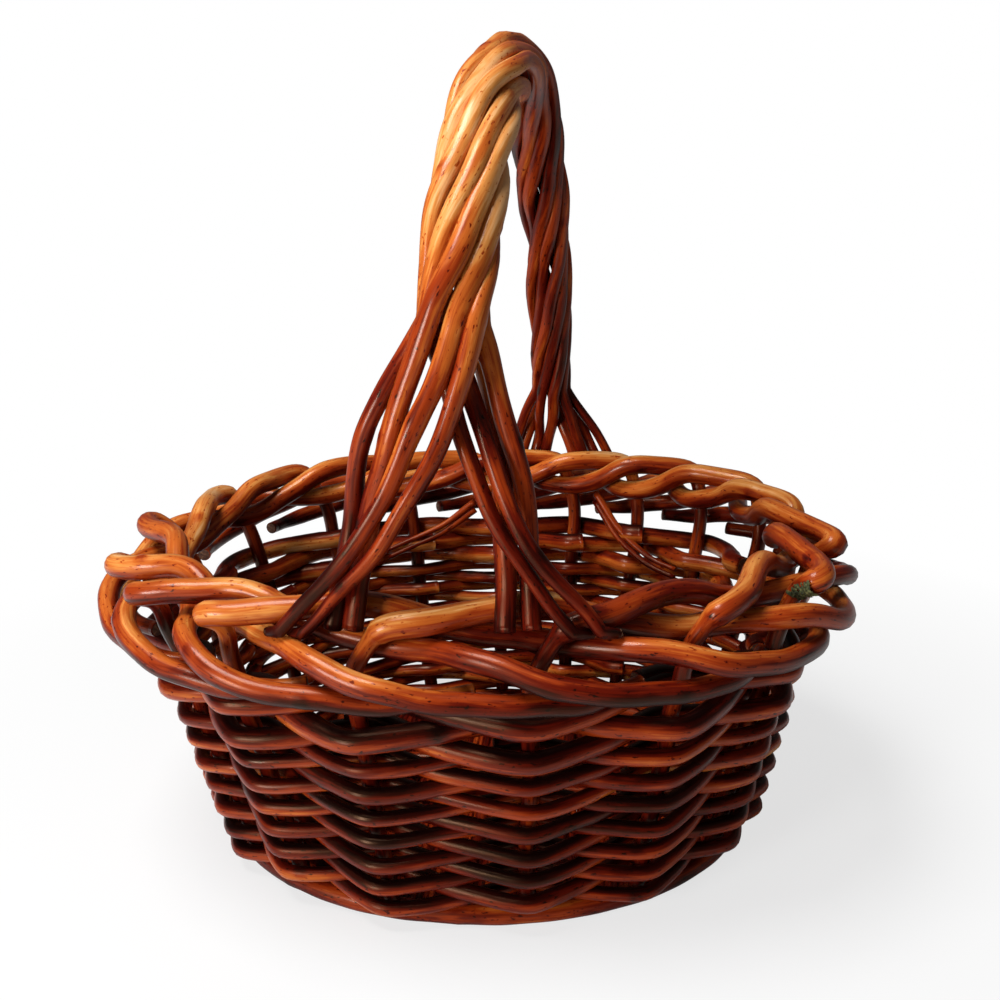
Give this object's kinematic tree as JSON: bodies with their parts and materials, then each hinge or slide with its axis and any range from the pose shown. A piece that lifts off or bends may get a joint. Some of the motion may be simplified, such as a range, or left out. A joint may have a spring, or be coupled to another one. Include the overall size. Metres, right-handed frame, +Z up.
{
  "type": "foraging basket",
  "caption": "Oval woven willow basket with a rolled rod border, a foot hoop and a fixed twisted bow handle across its width.",
  "frame": {"origin": "middle of the base's underside, on the surface that the basket stands on", "axes": "+Z up towards the handle's top, X along the basket's length, Y across it in the handle's plane"},
  "size_m": [0.3555, 0.2853, 0.3672],
  "materials": {
    "amber_willow": "glossy orange-brown varnish",
    "red_willow": "glossy red-brown varnish",
    "dark_willow": "glossy dark red-brown varnish"
  },
  "bodies": {
    "root": {"foot_hoop": "amber_willow", "base_weave": "dark_willow", "base_stick_short_1": "red_willow", "base_stick_short_2": "red_willow", "base_stick_short_3": "red_willow", "base_stick_short_4": "red_willow", "base_stick_short_5": "red_willow", "base_stick_long_1": "red_willow", "base_stick_long_2": "red_willow", "base_stick_long_3": "red_willow", "weaver_01": "red_willow", "weaver_02": "red_willow", "weaver_03": "red_willow", "weaver_04": "red_willow", "weaver_05": "red_willow", "weaver_06": "red_willow", "weaver_07": "red_willow", "weaver_08": "red_willow", "weaver_09": "red_willow", "weaver_10": "red_willow", "weaver_11": "red_willow", "weaver_12": "red_willow", "weaver_13": "red_willow", "top_weaver_1": "dark_willow", "top_weaver_2": "dark_willow", "top_weaver_3": "dark_willow", "stake_01": "amber_willow", "stake_02": "amber_willow", "stake_03": "amber_willow", "stake_04": "amber_willow", "stake_05": "amber_willow", "stake_06": "amber_willow", "stake_07": "amber_willow", "stake_08": "amber_willow", "stake_09": "amber_willow", "stake_10": "amber_willow", "stake_11": "amber_willow", "stake_12": "amber_willow", "stake_13": "amber_willow", "stake_14": "amber_willow", "stake_15": "amber_willow", "stake_16": "amber_willow", "stake_17": "amber_willow", "stake_18": "amber_willow", "handle_rod_1": "red_willow", "handle_rod_2": "red_willow", "handle_rod_3": "red_willow", "handle_rod_4": "red_willow", "handle_rod_5": "red_willow", "handle_rod_6": "red_willow", "handle_rod_7": "red_willow", "handle_rod_8": "red_willow"}
  },
  "joints": []
}
